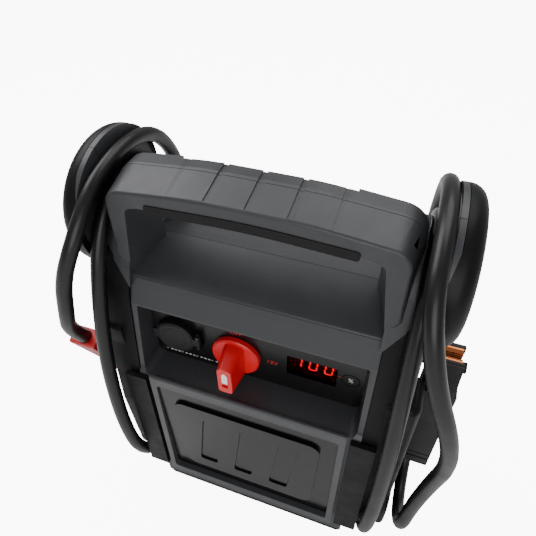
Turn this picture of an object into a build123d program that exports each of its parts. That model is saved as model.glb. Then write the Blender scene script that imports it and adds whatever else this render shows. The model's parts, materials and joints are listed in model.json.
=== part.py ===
from build123d import *
import math
import os

os.makedirs("parts", exist_ok=True)

# Frame: X to the right, Y to the back, Z up, origin on the floor under the middle of the part.
# ---------------------------------------------------------------- driving dimensions (mm)
housing_half = 98.0          # half width of the grey housing
side_half = housing_half + 36.0            # half width of the black side covers at their front columns
centre_shift = -9.75         # from the drawing's Y origin to the middle of the finished depth
body_front = -73.0           # foremost face of the badge frame
body_back = 71.0             # back wall
foot_height = 8.0
deck_height = 300.0          # front edge of the deck under the handle
handle_top = 391.0           # crown of the handle
wall = 3.0                   # moulded wall
gap = 0.4                    # seam between two mouldings
panel_tilt_y = -35.3         # plane of the control panel
panel_bottom = 202.0
panel_top = 274.0
panel_half = 91.0
arch_front = -40.0           # front face of the handle
arch_back = 3.0              # back face of the legs
arch_taper = 10.0            # draft of the front of the handle, degrees
leg_half = housing_half + 11.0             # half width over the handle's legs at the top
leg_foot_half = housing_half + 12.5        # the same at their feet
hand_half = 85.0             # half width of the hand opening at the seam
hand_top = 361.0             # top of the hand opening at the seam
seam_y_top = -13.0           # where the seam plane passes the top of the handle
seam_tilt = 10.6             # lean of the seam plane, degrees
deck_rise = 15.0             # height of the ridge above the deck's front edge
ridge_y = 1.0
groove_pitch = 27.9          # ribs across the handle
groove_width = 3.4
groove_depth = 1.3
shoulder_half = housing_half + 12.0        # where the shoulder beside the handle drops into the leads' trough
rim_inner = housing_half + 25.5            # inner face of the hook's rim
rim_thick = 4.0
hook_half = housing_half + 43.0            # half width over the hook covers
hook_y = 5.0                 # middle of the oval hook
hook_z = 340.0
hook_half_depth = 57.0
hook_half_height = 55.0
hook_round = 12.0            # rounding of the cover's outer edge
saddle_top = 366.0           # top of the core that the leads lie on
lead_diameter = 12.0
battery_size = (181.0, 77.0, 167.0)
knob_diameter = 41.6
knob_x = -14.5
knob_z = 231.0
knob_grip_height = 27.0
shaft_diameter = 8.0
shaft_fit = 0.05
socket_x = -68.0
socket_z = 237.0
socket_bore = 21.4           # bore of a 12 V vehicle socket
socket_depth = 38.0
cap_diameter = 35.0
display_x = 49.0
display_z = 234.8
display_width = 41.0
display_height = 23.5
post_diameter = 9.0          # parking post that a clamp bites
post_reach = housing_half + 65.0
clamp_width = 25.0
clamp_handle = 92.0
clamp_jaw = 64.0
clamp_post_at = 48.0         # from hinge pin to the middle of the jaws' mouth
pin_diameter = 6.0
pin_fit = 0.05

front_low = body_front + 11.0                        # front wall of the housing below the panel
seam_slope = math.tan(math.radians(seam_tilt))
ridge_z = deck_height + deck_rise
floor_z = foot_height

# hooks, troughs and side covers
trough_drop = 12.0           # the leads' trough below the saddle
side_front = -49.0           # front face of the side covers below the handle
side_back = 66.0
side_foot_front = -66.0
side_low = 32.0
side_recess = housing_half + 28.0
column_back = -22.0
column_bottom = 102.0
column_top = 250.0
rim_disc = 2.0               # thin part of the hook's rim, inside the cover
rim_step = 6.0               # how far the cover laps over the thin part
lower_hook_y = (-53.0, 71.0)
lower_hook_z = (14.0, 84.0)
lower_hook_corner = 26.0
lower_hook_thick = 13.0
post_low_z = 96.0            # the red clamp's parking post
post_high_z = 242.0          # the black clamp's

# rubber strip in the handle, and the frame round the badge
grip_half = 73.0
grip_height = 7.4
grip_middle_z = 373.0
grip_sag = 3.6
grip_depth = 3.0
frame_half = 87.0
frame_top = 202.0
frame_bottom = 34.0
frame_border_side = 5.5
frame_border_top = 11.0
frame_lean = 4.0
frame_peg = 2.0

# glands of the leads
gland_x = housing_half + 18.0
gland_y = 79.0
gland_z = 96.0
gland_height = 30.0
gland_stem = 7.6

# control panel, switch and 12 V socket
panel_thick = 1.2
board_y = -19.2              # front face of the control board
board_post = 3.0
switch_front = panel_tilt_y + wall + gap
switch_deep = 24.0
switch_radius = 24.0
pin_small = 2.0
small_fit = 0.03
knuckle = 2.6
cap_pin_x = socket_x + cap_diameter / 2 + 2.9
cap_pin_y = panel_tilt_y - panel_thick - 4.2
plug_radius = socket_bore / 2 - 1.0                  # small enough to swing out of the bore
plug_length = 3.5

# inside
battery_floor = 18.0
battery_front = -52.0
strap_foot = 14.4
base_thick = 4.0
foot_x = 84.0
foot_front = -48.0
foot_back = 56.0
foot_plug = 4.0
charger_y = 42.6             # front face of the charger board
charger_thick = 1.6

# charging inlet and its flap
inlet_z = 74.0
inlet_half = 20.0
inlet_high = 14.0
flap_half = 24.0
flap_thick = 2.6
flap_pin_z = inlet_z + inlet_high + 7.0
flap_pin_y = body_back + 3.0
screw_spots = [(-84, 30), (84, 30), (-84, 150), (84, 150), (-84, 236), (84, 236)]
screw_radius = 2.0
boss_front = 30.0

# clamps, each drawn with its hinge pin along X at the origin, handles up and jaws down
handle_angle = 11.5          # lean of the handle that the lead enters
lead_handle_y = -22.0
lead_grip = 16.0             # length of lead inside the handle
jaw_plate = 1.4
mouth_half = post_diameter / 2 + 0.3
lug_radius = 9.0
clamp_x = housing_half + 51.0
left_lean = 15.9
right_lean = 185.0
red_clear = 26.0             # straight lead outside each handle
black_clear = 31.6

ON_FLOOR = (Align.CENTER, Align.CENTER, Align.MIN)


# ---------------------------------------------------------------- helpers
def block(x, y, z):
    """A box from its limits along X, Y and Z."""
    size = (x[1] - x[0], y[1] - y[0], z[1] - z[0])
    centre = ((x[0] + x[1]) / 2, (y[0] + y[1]) / 2, (z[0] + z[1]) / 2)
    return Pos(*centre) * Box(*size)


def outline(points, radii):
    """A closed outline with rounded corners, one radius for each corner."""
    return make_face(FilletPolyline(*points, radius=radii, close=True))


def side_prism(points, radii, x):
    """An outline in Y and Z, drawn out along X."""
    face = Plane.YZ.offset(x[0]) * outline(points, radii)
    return extrude(face, amount=x[1] - x[0])


def front_prism(points, radii, y):
    """An outline in X and Z, drawn out along Y."""
    face = Plane.XZ.offset(-y[1]) * outline(points, radii)
    return extrude(face, amount=y[1] - y[0])


def rod_x(radius, x, y, z):
    """A round bar along X."""
    return Plane.YZ.offset(x[0]) * Pos(y, z, 0) * Cylinder(radius, x[1] - x[0], align=ON_FLOOR)


def rod_y(radius, x, y, z):
    """A round bar along Y, from y[0] back to y[1]."""
    return Plane.XZ.offset(-y[1]) * Pos(x, z, 0) * Cylinder(radius, y[1] - y[0], align=ON_FLOOR)


def rod_z(radius, x, y, z):
    """A round bar along Z."""
    return Pos(x, y, z[0]) * Cylinder(radius, z[1] - z[0], align=ON_FLOOR)


def flip(shape):
    """The same piece on the left side."""
    return mirror(shape, about=Plane.YZ)


def write(name, shape):
    """One STEP file for one node, moved so that the origin lies under the middle of the part."""
    solids = (Pos(0, centre_shift, 0) * shape).solids()
    node = Compound(children=list(solids)) if len(solids) > 1 else solids[0]
    export_step(node, f"parts/{name}.step")
    print(name, len(solids), round(shape.volume))


def loft_y(front_points, front_radii, y_front, back_points, back_radii, y_back):
    """A solid between two outlines in X and Z that lie on two Y planes."""
    front = Plane.XZ.offset(-y_front) * outline(front_points, front_radii)
    back = Plane.XZ.offset(-y_back) * outline(back_points, back_radii)
    return loft([back, front], ruled=True)


def seam_y(z):
    """Where the seam plane lies at a height above the ridge."""
    return seam_y_top - seam_slope * (z - handle_top)


# ---------------------------------------------------------------- grey housing
def housing_outer():
    """The housing's body below the handle, from its side outline."""
    points = [(front_low, floor_z), (front_low, panel_bottom - 2), (panel_tilt_y - 24, panel_bottom + 1),
              (panel_tilt_y - 13.5, deck_height - 24), (arch_front - 0.5, deck_height),
              (ridge_y, ridge_z), (ridge_y + 42, deck_height - 2), (body_back, deck_height - 40),
              (body_back, floor_z)]
    radii = [0.5, 0.5, 0.5, 2, 3, 1, 12, 18, 6]
    return side_prism(points, radii, (-housing_half, housing_half))


def arch_outer():
    """The handle: legs and crowned bar, drafted towards the front."""
    crest = seam_y_top + 3
    foot = deck_height - 4
    half = [(housing_half, foot), (leg_foot_half, foot + 22), (leg_half, handle_top - 8),
            (40, handle_top - 0.5)]
    points = half + [(-x, z) for x, z in reversed(half)]
    radii = [1.5, 5, 19, 300, 300, 19, 5, 1.5]
    face = Plane.XZ.offset(-crest) * outline(points, radii)
    front = extrude(face, amount=crest - arch_front, taper=arch_taper)
    back = extrude(face, amount=-(arch_back - crest))
    front = fillet(front.faces().sort_by(Axis.Y)[0].edges(), 2.5)
    return front + back


def hand_opening():
    """The way through for a hand, flared to both sides of the seam."""
    seam = [(hand_half, ridge_z - 3), (hand_half, hand_top - 3), (hand_half - 8, hand_top)]
    seam = seam + [(-x, z) for x, z in reversed(seam)]
    front = [(housing_half - 0.5, deck_height - 1), (housing_half - 9, hand_top + 5),
             (housing_half - 20, hand_top + 8)]
    front = front + [(-x, z) for x, z in reversed(front)]
    back = [(hand_half + 5, ridge_z - 8), (hand_half + 4, hand_top + 2), (hand_half - 6, hand_top + 4)]
    back = back + [(-x, z) for x, z in reversed(back)]
    radii = [0.8, 6, 6, 6, 6, 0.8]
    middle = (ridge_y + seam_y(hand_top)) / 2
    cut = loft_y(front, radii, arch_front - 1, seam, radii, middle)
    cut = cut + loft_y(seam, radii, middle, back, radii, arch_back + 1)
    return cut


def deck_solid():
    """The deck inside the opening: rises to the ridge and falls to the back."""
    points = [(arch_front - 0.5, deck_height - 20), (arch_front - 0.5, deck_height), (ridge_y, ridge_z),
              (ridge_y + 42, deck_height - 2), (ridge_y + 42, deck_height - 20)]
    return side_prism(points, [0.5, 3, 1, 1, 0.5], (-housing_half + 0.2, housing_half - 0.2))


def panel_pocket():
    """The recess of the control panel, with flared cheeks."""
    back = [(panel_half, panel_bottom), (panel_half, panel_top), (-panel_half, panel_top),
            (-panel_half, panel_bottom)]
    mouth = housing_half - 1.2
    front = [(mouth - 1.5, panel_bottom - 4), (mouth, panel_top + 2), (-mouth, panel_top + 2),
             (-mouth + 1.5, panel_bottom - 4)]
    return loft_y(front, [6, 2, 2, 6], body_front - 1, back, [7, 1, 1, 7], panel_tilt_y)


def handle_grooves():
    """Shallow grooves across the top of the handle."""
    grooves = []
    for step in (-2, -1, 0, 1, 2):
        x = step * groove_pitch
        top = handle_top - (0.3 if abs(step) < 2 else 1.2)
        path = [(arch_front + 2.2, top - 4.7 - groove_depth), (seam_y_top + 3, top - groove_depth),
                (arch_back + 1, top - groove_depth), (arch_back + 1, top + 9), (arch_front + 2.2, top + 9)]
        grooves.append(side_prism(path, [0.2] * 5, (x - groove_width / 2, x + groove_width / 2)))
    return grooves


def saddle_points(drop=0.0):
    """Side outline of the arm that the leads hang on: the shoulder, or the trough dropped below it."""
    top = saddle_top - drop
    return [(side_front, deck_height - 50), (side_front, deck_height - 10), (-28, top - 20 + drop / 4),
            (-2, top), (20, top), (46, top - 20 + drop / 4), (side_back, deck_height - 10),
            (side_back, deck_height - 50)]


def grey_cut(x_from=housing_half - 20, extra=0.0):
    """Everything on the right side below the slanted edge where grey meets black."""
    edge = [(x_from, deck_height - 300), (x_from, deck_height - 4 - extra - (housing_half - x_from) * 1.4),
            (rim_inner + rim_thick + 20, deck_height - 4 - extra + (rim_inner + rim_thick + 20 - housing_half) * 1.4),
            (rim_inner + rim_thick + 20, deck_height - 300)]
    return front_prism(edge, [0.1] * 4, (-150, 150))


def hook_slice(grow, x):
    """A slice of the oval hook between two limits along X, grown all round."""
    oval = Pos(hook_y, hook_z, 0) * Ellipse(hook_half_depth + grow, hook_half_height + grow)
    return extrude(Plane.YZ.offset(x[0]) * oval, amount=x[1] - x[0])


def rim_plate(grow=0.0):
    """Grey rim of the right hook: a thin disc with a thick crown, grown for the cover's clearance."""
    disc = hook_slice(grow - rim_step, (rim_inner - grow, rim_inner + rim_disc + grow))
    crown = hook_slice(grow, (rim_inner - grow, rim_inner + rim_thick + grow))
    low = hook_z - hook_half_height - 30
    far = rim_inner + rim_thick + 2
    slant = front_prism([(rim_inner - 2, low), (rim_inner - 2, hook_z + 17 - grow),
                         (far, hook_z + 50 - grow), (far, low)],
                        [0.1] * 4, (-150, 150))
    return disc + (crown - slant)


def hook_arm():
    """Grey arm of the right hook, with its rim."""
    radii = [2, 40, 40, 30, 30, 40, 40, 2]
    shoulder = side_prism(saddle_points(), radii, (housing_half - 2, shoulder_half))
    trough = side_prism(saddle_points(trough_drop), radii, (shoulder_half - 1, rim_inner + 0.5))
    core = shoulder + trough - grey_cut()
    return core + rim_plate()


def housing_cavity():
    """The room inside the housing."""
    points = [(front_low + wall, floor_z - 1), (front_low + wall, panel_bottom - 2 - wall),
              (panel_tilt_y + wall, panel_bottom - wall),
              (panel_tilt_y + wall, panel_top + 6), (arch_front + 5, deck_height - 4), (ridge_y,
                                                                                        ridge_z - wall - 0.5),
              (ridge_y + 41, deck_height - 2 - wall - 0.5), (body_back - wall,
                                                             deck_height - 42), (body_back - wall,
                                                                                 floor_z - 1)]
    return side_prism(points, [0.5, 0.5, 0.5, 2, 2, 1, 10, 15, 0.5],
                      (-housing_half + wall, housing_half - wall))


def handle_cavity():
    """Hollows in the bar and in the legs of the handle."""
    bar = block((-88, 88), (arch_front + 5, arch_back - 7), (hand_top + 12, handle_top - 11))
    leg = block((hand_half + 9, leg_half - 5), (arch_front + 12, arch_back - 4),
                (ridge_z + 4, handle_top - 14))
    return bar + leg + flip(leg)


def housing():
    """The whole grey housing before it is split along the seam."""
    body = housing_outer() + arch_outer() - hand_opening()
    body = body + deck_solid()
    arm = hook_arm()
    body = body + arm + flip(arm)
    body = body - panel_pocket() - housing_cavity() - handle_cavity()
    back_step = block((-62, 62), (arch_back - 3, arch_back + 5), (hand_top - 2, handle_top + 5))
    body = body - back_step
    for groove in handle_grooves():
        body = body - groove
    return body


def seam_solid(extra):
    """Everything in front of the seam plane, moved forward by extra."""
    low = ridge_y + 0.0
    top_z = hook_z + hook_half_height + 30
    points = [(-200, -20), (low - extra, -20), (low - extra, ridge_z), (seam_y(top_z) - extra, top_z),
              (-200, top_z)]
    return side_prism(points, [0.05] * 5, (-200, 200))


def front_fixings(shell):
    """Seats and holes in the front shell for what is fitted to it."""
    panel_back = panel_tilt_y + wall + 1
    shell = shell - rod_y(shaft_diameter / 2 + 0.6, knob_x, (panel_tilt_y - 2, panel_back), knob_z)
    shell = shell - rod_y(socket_bore / 2 + 2.4, socket_x, (panel_tilt_y - 2, panel_back), socket_z)
    window = block((display_x - display_width / 2, display_x + display_width / 2),
                   (panel_tilt_y - 2, panel_back),
                   (display_z - display_height / 2, display_z + display_height / 2))
    shell = shell - window
    shell = shell - grip_strip(gap / 2)
    for x, z in peg_spots():
        shell = shell - rod_y(frame_peg + gap / 2, x, (front_low - 1, front_low + wall + 1), z)
    for post in board_posts():
        shell = shell + post
    return shell


def peg_spots():
    """Where the badge frame's pegs go into the front shell, as X and Z."""
    x = frame_half - 14
    return [(side * x, z) for side in (-1, 1) for z in (frame_bottom + 6, frame_top - 9)]


def grip_strip(grow=0.0):
    """The rubber strip set into the lower edge of the handle's face, arched with the bar."""
    half = grip_height / 2 + grow
    end = grip_half + grow
    low = [(-end, grip_middle_z - grip_sag - half), (0, grip_middle_z - half),
           (end, grip_middle_z - grip_sag - half)]
    high = [(end, grip_middle_z - grip_sag + half), (0, grip_middle_z + half),
            (-end, grip_middle_z - grip_sag + half)]
    return front_prism(low + high, [2.5, 600, 2.5, 2.5, 600, 2.5],
                       (arch_front - 0.6, arch_front + grip_depth + grow))


def lower_frame():
    """The grey frame round the badge, leaning out at its foot."""
    top_y = front_low - 2.5
    points = [(front_low - gap, frame_bottom), (front_low - gap, frame_top), (top_y - 1, frame_top),
              (top_y - frame_lean - 1, frame_bottom)]
    frame = side_prism(points, [0.3, 0.3, 2, 2], (-frame_half, frame_half))
    hole = front_prism(frame_hole(0), [3] * 4, (body_front - 20, front_low + 20))
    frame = frame - hole
    for x, z in peg_spots():
        frame = frame + rod_y(frame_peg, x, (front_low - gap - 0.2, front_low + wall + 4), z)
    return frame


def frame_hole(grow):
    """The corners of the frame's opening."""
    x = frame_half - frame_border_side - grow
    low = frame_bottom + frame_border_top + grow
    high = frame_top - frame_border_top - grow
    return [(-x, low), (-x, high), (x, high), (x, low)]


def badge_plate():
    """The dark plate in the frame, with a raised plain shield."""
    plate = front_prism(frame_hole(0.5), [3] * 4, (front_low - gap - 1.6, front_low - gap))
    shield_half = 64.0
    shield = front_prism([(-shield_half, 62), (-shield_half - 4, 174), (shield_half + 4, 174),
                          (shield_half, 62)], [10] * 4,
                         (front_low - gap - 4.2, front_low - gap - 1))
    for x in (-36, 0, 36):
        slot = front_prism([(x - 14, 78), (x - 4, 158), (x + 14, 158), (x + 4, 78)], [3] * 4,
                           (front_low - gap - 5, front_low - gap - 2.6))
        shield = shield - slot
    return plate + shield


# ---------------------------------------------------------------- black side covers


def side_points(inset=0.0, drop=0.0):
    """Side outline of a side cover: saddle above, curved foot below."""
    top = saddle_top - drop - inset
    return [(side_foot_front + 4 + inset, side_low + 38), (side_foot_front + 1 + inset, 150),
            (side_foot_front + 5 + inset, 200),
            (side_front + inset, deck_height - 16), (-28 + inset, top - 20 + drop / 4), (-2, top),
            (20, top), (46 - inset, top - 20 + drop / 4), (side_back - inset, deck_height - 16),
            (side_back - inset, side_low + 38), (side_back - 30, side_low + inset), (side_foot_front + 34,
                                                                                     side_low + inset)]


SIDE_RADII = [30, 60, 60, 60, 40, 30, 30, 40, 60, 30, 40, 40]


def side_cover(post_z):
    """The right side cover: core for the leads, front column, lower hook and its clamp's parking post."""
    inner = housing_half + gap
    core = side_prism(side_points(), SIDE_RADII, (inner, shoulder_half))
    core = core + side_prism(side_points(0, trough_drop), SIDE_RADII,
                             (shoulder_half - 1, rim_inner)) - arch_clear()
    cavity = side_prism(side_points(wall, trough_drop), SIDE_RADII,
                        (inner - 1, rim_inner - wall - 1.5)) - arch_clear(wall)
    core = core - cavity
    column = block((rim_inner - 14, side_half), (side_front - 8, column_back), (column_bottom, column_top))
    column = fillet(column.edges().filter_by(Axis.Z).group_by(Axis.X)[-1], 9)
    column = fillet(column.faces().sort_by(Axis.Z)[-1].edges().sort_by(Axis.X)[-1:], 6)
    rear_pad = block((rim_inner - 2, side_recess + 4), (44, side_back - 6), (column_bottom, column_top))
    lower = side_prism(lower_hook_points(), [lower_hook_corner] * 4,
                       (rim_inner - 0.5, rim_inner + lower_hook_thick))
    lower = fillet(lower.faces().sort_by(Axis.X)[-1].edges(), 5)
    flange = side_prism([(front_low - gap - 0.2, 44), (front_low - gap - 0.2, panel_bottom - 4),
                         (front_low - 5, panel_bottom - 4),
                         (front_low - 8.5, 44)], [0.2] * 4, (frame_half + 3, inner + 12))
    cover = core + column + rear_pad + lower + flange
    cover = cover + rod_x(post_diameter / 2 + 4, (rim_inner - 3, rim_inner + 4), 0, post_z)
    cover = cover + rod_x(post_diameter / 2, (rim_inner, post_reach), 0, post_z)
    cover = cover + gland_block() - gland_bore()
    return cover


def lower_hook_points():
    """Side outline of the lower hook's flange."""
    front, back = lower_hook_y
    low, high = lower_hook_z
    return [(front, low), (front, high), (back, high), (back, low)]


def arch_clear(down=0.0):
    """What is cut off a side cover to leave the grey arm and leg their room."""
    base = deck_height - 4 - gap - down
    far = rim_inner + 30
    edge = [(housing_half - 20, base - 20 * 1.4), (far, base + (far - housing_half) * 1.4), (far, 520),
            (housing_half - 20, 520)]
    return front_prism(edge, [0.1] * 4, (-150, 150))


def gland_block():
    """The boss low on the back that holds a lead's gland upright."""
    points = [(side_back - 8, gland_z - 46), (side_back - 8, gland_z), (gland_y + 11, gland_z),
              (gland_y + 11, gland_z - 20)]
    boss = side_prism(points, [0.2, 0.2, 1, 4], (gland_x - 11, min(gland_x + 11, rim_inner - 0.5)))
    return boss


def gland_bore():
    """The hole for the gland's stem."""
    return rod_z(gland_stem + pin_fit, gland_x, gland_y, (gland_z - 14, gland_z + 1))


def gland():
    """A ribbed rubber strain relief standing on its boss."""
    radius = lead_diameter / 2
    body = rod_z(gland_stem, gland_x, gland_y, (gland_z - 13.8, gland_z + gap))
    body = body + Pos(gland_x, gland_y, gland_z + gap) * Cone(9.6, radius + 1.6, gland_height - gap,
                                                              align=ON_FLOOR)
    for step in range(4):
        z = gland_z + 6 + step * 6
        body = body - (rod_z(12, gland_x, gland_y, (z, z + 1.6)) - rod_z(radius + 1.2, gland_x, gland_y,
                                                                         (z - 1, z + 3)))
    return body


def hook_cover():
    """The black domed cover outside the right hook, wrapped over the front of its rim."""
    outer = hook_slice(0, (rim_inner, hook_half))
    outer = fillet(outer.faces().sort_by(Axis.X)[-1].edges(), hook_round)
    return outer - rim_plate(gap)


# ---------------------------------------------------------------- control panel
def panel_plate():
    """The glossy black panel with holes for the knob's shaft, the socket and the display."""
    half = panel_half - gap
    corners = [(half, panel_bottom + gap), (half, panel_top - gap), (-half, panel_top - gap),
               (-half, panel_bottom + gap)]
    plate = front_prism(corners, [6.6, 0.8, 0.8, 6.6], (panel_tilt_y - panel_thick, panel_tilt_y - 0.1))
    plate = plate - rod_y(shaft_diameter / 2 + 0.6, knob_x, (panel_tilt_y - 3, panel_tilt_y + 1), knob_z)
    plate = plate - rod_y(socket_bore / 2 + 2.4, socket_x, (panel_tilt_y - 3, panel_tilt_y + 1), socket_z)
    return plate - display_block(0, (panel_tilt_y - 3, panel_tilt_y + 1))


def display_block(grow, y):
    """A block of the display window's size, grown on each side."""
    half = display_width / 2 + grow
    high = display_height / 2 + grow
    return block((display_x - half, display_x + half), y, (display_z - high, display_z + high))


def display_lens():
    """The tinted window over the digits."""
    return display_block(-gap / 2, (panel_tilt_y - panel_thick, panel_tilt_y + 2.0))


def display_module():
    """The numeric display: moulded digit block on its pins."""
    case = display_block(-1.2, (panel_tilt_y + 2.3, panel_tilt_y + 10.5))
    for step in range(-3, 4):
        for row in (-7.5, 7.5):
            case = case + rod_y(0.4, display_x + step * 5.08, (panel_tilt_y + 10, panel_tilt_y + 15.8),
                                display_z + row)
    return case


def control_board():
    """The circuit board behind the panel, with its main parts."""
    board = block((24, 88), (board_y, board_y + 1.6), (207, 262))
    board = board + block((30, 42), (board_y + 1.5, board_y + 4), (214, 226))
    board = board + block((50, 57), (board_y + 1.5, board_y + 9), (212, 222))
    board = board + rod_y(5, 76, (board_y + 1.5, board_y + 14), 217)
    for step in range(-3, 4):
        for row in (-7.5, 7.5):
            board = board - rod_y(0.6, display_x + step * 5.08, (board_y - 1, board_y + 3), display_z + row)
    return board


def board_posts():
    """Screw posts on the back of the front shell that carry the circuit board."""
    posts = []
    for x in (27, 85):
        for z in (210, 259):
            posts.append(rod_y(board_post, x, (panel_tilt_y + wall - 0.5, board_y - gap), z))
    return posts


def selector_knob():
    """The red rotary knob: disc, thick grip with a notched foot, and a bore for the shaft."""
    face = panel_tilt_y - panel_thick
    disc_back = face - 0.6
    disc = rod_y(knob_diameter / 2, knob_x, (disc_back - 5, disc_back), knob_z)
    disc = chamfer(disc.edges().filter_by(GeomType.CIRCLE).group_by(Axis.Y)[0], 1.2)
    grip = loft_y([(knob_x - 6, knob_z - 17.5), (knob_x - 6, knob_z + 13), (knob_x + 6, knob_z + 13),
                   (knob_x + 6, knob_z - 17.5)],
                  [2.5, 4, 4, 2.5], disc_back - knob_grip_height,
                  [(knob_x - 9, knob_z - 18), (knob_x - 9, knob_z + 18), (knob_x + 9, knob_z + 18),
                   (knob_x + 9, knob_z - 18)],
                  [2.5, 6, 6, 2.5], disc_back - 4.5)
    bore = rod_y(shaft_diameter / 2 + shaft_fit, knob_x, (disc_back - 16, disc_back + 1), knob_z)
    marker = marker_shape(disc_back - knob_grip_height - 1, disc_back - knob_grip_height + 1, 0.05)
    slot = front_prism([(knob_x - 2.6, knob_z - 11), (knob_x - 2.6, knob_z - 7), (knob_x + 2.6, knob_z - 7),
                        (knob_x + 2.6, knob_z - 11)],
                       [1.2] * 4, (disc_back - knob_grip_height - 1, disc_back - knob_grip_height + 5))
    return disc + grip - bore - marker - slot


def marker_shape(front, back, grow):
    """The pointer's outline, a short bar with a pointed end."""
    half = 2.4 + grow
    points = [(knob_x - half, knob_z - 5 - grow), (knob_x - half, knob_z + 5),
              (knob_x, knob_z + 8.5 + grow), (knob_x + half, knob_z + 5),
              (knob_x + half, knob_z - 5 - grow)]
    return front_prism(points, [0.2] * 5, (front, back))


def knob_marker():
    """The white pointer inlaid in the knob's grip."""
    front = panel_tilt_y - panel_thick - 0.6 - knob_grip_height
    return marker_shape(front - 0.1, front + 0.9, 0)


def selector_shaft():
    """Steel shaft from the knob to the copper contact bridge inside the switch."""
    disc_back = panel_tilt_y - panel_thick - 0.6
    shaft = rod_y(shaft_diameter / 2, knob_x, (disc_back - 15, switch_front + 17), knob_z)
    bridge = block((knob_x - 14, knob_x + 14), (switch_front + 9, switch_front + 12),
                   (knob_z - 4, knob_z + 4))
    return shaft + bridge


def selector_switch():
    """The battery switch: round case with two stud terminals behind."""
    case = rod_y(switch_radius, knob_x, (switch_front, switch_front + switch_deep), knob_z)
    room = rod_y(16, knob_x, (switch_front + 6, switch_front + switch_deep - 4), knob_z)
    bore = rod_y(shaft_diameter / 2 + shaft_fit, knob_x, (switch_front - 1, switch_front + 7), knob_z)
    case = case - room - bore
    for side in (-1, 1):
        stud = rod_y(4, knob_x + side * 13,
                     (switch_front + switch_deep - 1, switch_front + switch_deep + 9), knob_z - 12)
        case = case + stud
    return case


# ---------------------------------------------------------------- 12 V socket
def socket_barrel():
    """The 12 V outlet: flanged cup with a closed back and a collar in the panel."""
    face = panel_tilt_y - panel_thick
    outer = rod_y(socket_bore / 2 + 2.1, socket_x, (face - 1.5, face + socket_depth + 3), socket_z)
    flange = rod_y(cap_diameter / 2, socket_x, (face - 3.2, face - 0.3), socket_z)
    bore = rod_y(socket_bore / 2, socket_x, (face - 5, face + socket_depth), socket_z)
    hole = rod_y(2.6, socket_x, (face + socket_depth - 1, face + socket_depth + 4), socket_z)
    return outer + flange + cap_ears() - bore - hole


def cap_ears():
    """Two ears beside the socket's flange that hold the cap's pin."""
    face = panel_tilt_y - panel_thick
    edge = socket_x + cap_diameter / 2
    ears = []
    for low in (socket_z - 8, socket_z + 4.3):
        z = (low, low + 3.7)
        eye = rod_z(knuckle, cap_pin_x, cap_pin_y, z)
        eye = eye + block((edge + gap, cap_pin_x + knuckle), (cap_pin_y, face - 0.3), z)
        eye = eye + block((edge - 4, cap_pin_x), (face - 3.2, face - 0.3), z)
        ears.append(eye - cap_pin_bore())
    return ears[0] + ears[1]


def cap_pin_bore():
    """The bore for the cap's pin."""
    return rod_z(pin_small / 2 + small_fit, cap_pin_x, cap_pin_y, (socket_z - 20, socket_z + 20))


def socket_contact():
    """The sprung centre contact at the bottom of the socket, with its tail."""
    face = panel_tilt_y - panel_thick
    contact = rod_y(2.5, socket_x, (face + socket_depth - 5, face + socket_depth + 9), socket_z)
    return contact + rod_y(4.5, socket_x, (face + socket_depth - 7, face + socket_depth - 4.9), socket_z)


def socket_cap():
    """The hinged dust cap: plug, disc, hinge knuckle and a lift tab."""
    back = panel_tilt_y - panel_thick - 3.5
    cap = rod_y(cap_diameter / 2, socket_x, (back - 3.4, back), socket_z)
    cap = fillet(cap.edges().filter_by(GeomType.CIRCLE).group_by(Axis.Y)[0], 1.4)
    plug = rod_y(plug_radius, socket_x, (back - 0.5, back + plug_length), socket_z)
    plug = plug - rod_y(plug_radius - 2, socket_x, (back + 1, back + 8), socket_z)
    arm = block((socket_x + 10, cap_pin_x), (back - 3.2, cap_pin_y + 0.8), (socket_z - 3.9, socket_z + 3.9))
    eye = rod_z(knuckle, cap_pin_x, cap_pin_y, (socket_z - 3.9, socket_z + 3.9))
    tab = block((socket_x - cap_diameter / 2 - 2.5, socket_x - 12), (back - 3.2, back - 1),
                (socket_z - 5, socket_z + 5))
    cap = cap + plug + arm + eye + tab
    return cap - cap_pin_bore()


def socket_pin():
    """The cap's hinge pin."""
    return rod_z(pin_small / 2, cap_pin_x, cap_pin_y, (socket_z - 8, socket_z + 8))


# ---------------------------------------------------------------- inside


def battery_middle():
    """Centre of the battery's block."""
    return (0, battery_front + battery_size[1] / 2, battery_floor + battery_size[2] / 2)


def battery():
    """The sealed 12 V battery with a lid and terminal recesses."""
    width, deep, high = battery_size
    case = Pos(*battery_middle()) * Box(width, deep, high)
    case = fillet(case.edges().filter_by(Axis.Z), 3)
    back = battery_front + deep
    for side in (-1, 1):
        x = side * (width / 2 - 14)
        case = case - block((x - 9, x + 9), (battery_front + 8, battery_front + 30),
                            (battery_floor + high - 8, battery_floor + high + 1))
    line = block((-width / 2 - 1, width / 2 + 1), (battery_front - 1, back + 1),
                 (battery_floor + high - 22, battery_floor + high - 21))
    inner = block((-width / 2 + 0.8, width / 2 - 0.8), (battery_front + 0.8, back - 0.8),
                  (battery_floor + high - 24, battery_floor + high - 19))
    return case - (line - inner)


def battery_terminals():
    """Two lead posts with bolt holes, standing in the battery's recesses."""
    posts = []
    top = battery_floor + battery_size[2]
    for side in (-1, 1):
        x = side * (battery_size[0] / 2 - 14)
        post = block((x - 6, x + 6), (battery_front + 13, battery_front + 25), (top - 8, top + 4))
        posts.append(post - rod_x(2.7, (x - 9, x + 9), battery_front + 19, top))
    return posts[0] + posts[1]


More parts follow.
